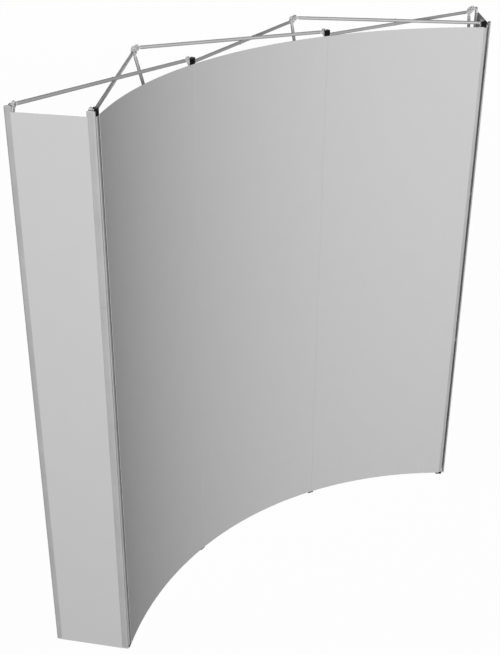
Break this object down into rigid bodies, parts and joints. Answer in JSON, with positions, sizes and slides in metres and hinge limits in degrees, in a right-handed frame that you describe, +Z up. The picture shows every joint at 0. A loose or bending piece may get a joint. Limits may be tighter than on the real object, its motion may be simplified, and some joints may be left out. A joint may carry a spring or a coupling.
{
  "type": "pop up display backwall",
  "caption": "Curved pop up display wall: folding scissor frame with hooked magnetic bars, plain curved front panels and flat end panels.",
  "frame": {"origin": "middle of the floor plan, on the floor under the wall", "axes": "+X along the wall to the right as seen from its hollow front, +Y towards the back, +Z up; the hollow front faces -Y"},
  "size_m": [2.2674, 0.5946, 2.2296],
  "materials": {
    "panel_sheet": "matt laminated PVC sheet, plain light grey",
    "aluminium_tube": "satin anodised",
    "aluminium_bar": "satin anodised, drawn lengthwise",
    "grey_nylon": "moulded, fine texture",
    "black_nylon": "moulded, fine texture",
    "steel": "turned, plain",
    "magnetic_tape": "matt flexible magnet",
    "magnetic_strip": "matt flexible magnet",
    "rubber_foot": "matt"
  },
  "bodies": {
    "frame": {"front_hubs_line_1": "grey_nylon", "front_hubs_line_2": "grey_nylon", "front_hubs_line_3": "grey_nylon", "front_hubs_line_4": "grey_nylon", "back_hubs_line_1": "grey_nylon", "back_hubs_line_2": "grey_nylon", "back_hubs_line_3": "grey_nylon", "back_hubs_line_4": "grey_nylon", "level_tubes_bottom": "aluminium_tube", "level_tubes_low": "aluminium_tube", "level_tubes_high": "aluminium_tube", "level_tubes_top": "aluminium_tube", "upright_tubes_line_1": "aluminium_tube", "upright_tubes_line_2": "aluminium_tube", "upright_tubes_line_3": "aluminium_tube", "upright_tubes_line_4": "aluminium_tube", "level_tube_ends": "grey_nylon", "upright_tube_ends": "grey_nylon", "crossing_rivets": "steel", "crossing_washers": "black_nylon", "hub_pins": "steel", "corner_brackets": "grey_nylon", "feet": "rubber_foot"},
    "front_bar_1": {"front_bar_line_1": "aluminium_bar", "front_bar_fittings_line_1": "black_nylon", "front_bar_tape_line_1": "magnetic_tape"},
    "front_bar_2": {"front_bar_line_2": "aluminium_bar", "front_bar_fittings_line_2": "black_nylon", "front_bar_tape_line_2": "magnetic_tape"},
    "front_bar_3": {"front_bar_line_3": "aluminium_bar", "front_bar_fittings_line_3": "black_nylon", "front_bar_tape_line_3": "magnetic_tape"},
    "front_bar_4": {"front_bar_line_4": "aluminium_bar", "front_bar_fittings_line_4": "black_nylon", "front_bar_tape_line_4": "magnetic_tape"},
    "front_left_side_bar": {"side_bar_front_left": "aluminium_bar", "side_bar_fittings_front_left": "grey_nylon", "side_bar_tape_front_left": "magnetic_tape"},
    "back_left_side_bar": {"side_bar_back_left": "aluminium_bar", "side_bar_fittings_back_left": "grey_nylon", "side_bar_tape_back_left": "magnetic_tape"},
    "front_right_side_bar": {"side_bar_front_right": "aluminium_bar", "side_bar_fittings_front_right": "grey_nylon", "side_bar_tape_front_right": "magnetic_tape"},
    "back_right_side_bar": {"side_bar_back_right": "aluminium_bar", "side_bar_fittings_back_right": "grey_nylon", "side_bar_tape_back_right": "magnetic_tape"},
    "left_front_panel": {"front_panel_left": "panel_sheet", "front_strips_left": "magnetic_strip"},
    "middle_front_panel": {"front_panel_middle": "panel_sheet", "front_strips_middle": "magnetic_strip"},
    "right_front_panel": {"front_panel_right": "panel_sheet", "front_strips_right": "magnetic_strip"},
    "left_end_panel": {"end_panel_left": "panel_sheet", "end_strips_left": "magnetic_strip"},
    "right_end_panel": {"end_panel_right": "panel_sheet", "end_strips_right": "magnetic_strip"}
  },
  "joints": [
    {"name": "front_bar_1_lift", "type": "slide", "parent": "frame", "child": "front_bar_1", "axis": [0, 0, 1], "range_m": [0, 0.01]},
    {"name": "front_bar_2_lift", "type": "slide", "parent": "frame", "child": "front_bar_2", "axis": [0, 0, 1], "range_m": [0, 0.01]},
    {"name": "front_bar_3_lift", "type": "slide", "parent": "frame", "child": "front_bar_3", "axis": [0, 0, 1], "range_m": [0, 0.01]},
    {"name": "front_bar_4_lift", "type": "slide", "parent": "frame", "child": "front_bar_4", "axis": [0, 0, 1], "range_m": [0, 0.01]},
    {"name": "front_left_side_bar_lift", "type": "slide", "parent": "frame", "child": "front_left_side_bar", "axis": [0, 0, 1], "range_m": [0, 0.01]},
    {"name": "back_left_side_bar_lift", "type": "slide", "parent": "frame", "child": "back_left_side_bar", "axis": [0, 0, 1], "range_m": [0, 0.01]},
    {"name": "front_right_side_bar_lift", "type": "slide", "parent": "frame", "child": "front_right_side_bar", "axis": [0, 0, 1], "range_m": [0, 0.01]},
    {"name": "back_right_side_bar_lift", "type": "slide", "parent": "frame", "child": "back_right_side_bar", "axis": [0, 0, 1], "range_m": [0, 0.01]},
    {"name": "left_front_panel_pull", "type": "slide", "parent": "frame", "child": "left_front_panel", "axis": [0, -1, 0], "range_m": [0, 0.4]},
    {"name": "middle_front_panel_pull", "type": "slide", "parent": "frame", "child": "middle_front_panel", "axis": [0, -1, 0], "range_m": [0, 0.4]},
    {"name": "right_front_panel_pull", "type": "slide", "parent": "frame", "child": "right_front_panel", "axis": [0, -1, 0], "range_m": [0, 0.4]},
    {"name": "left_end_panel_pull", "type": "slide", "parent": "frame", "child": "left_end_panel", "axis": [-0.7771, -0.6293, 0], "range_m": [0, 0.3]},
    {"name": "right_end_panel_pull", "type": "slide", "parent": "frame", "child": "right_end_panel", "axis": [0.7771, -0.6293, 0], "range_m": [0, 0.3]}
  ]
}
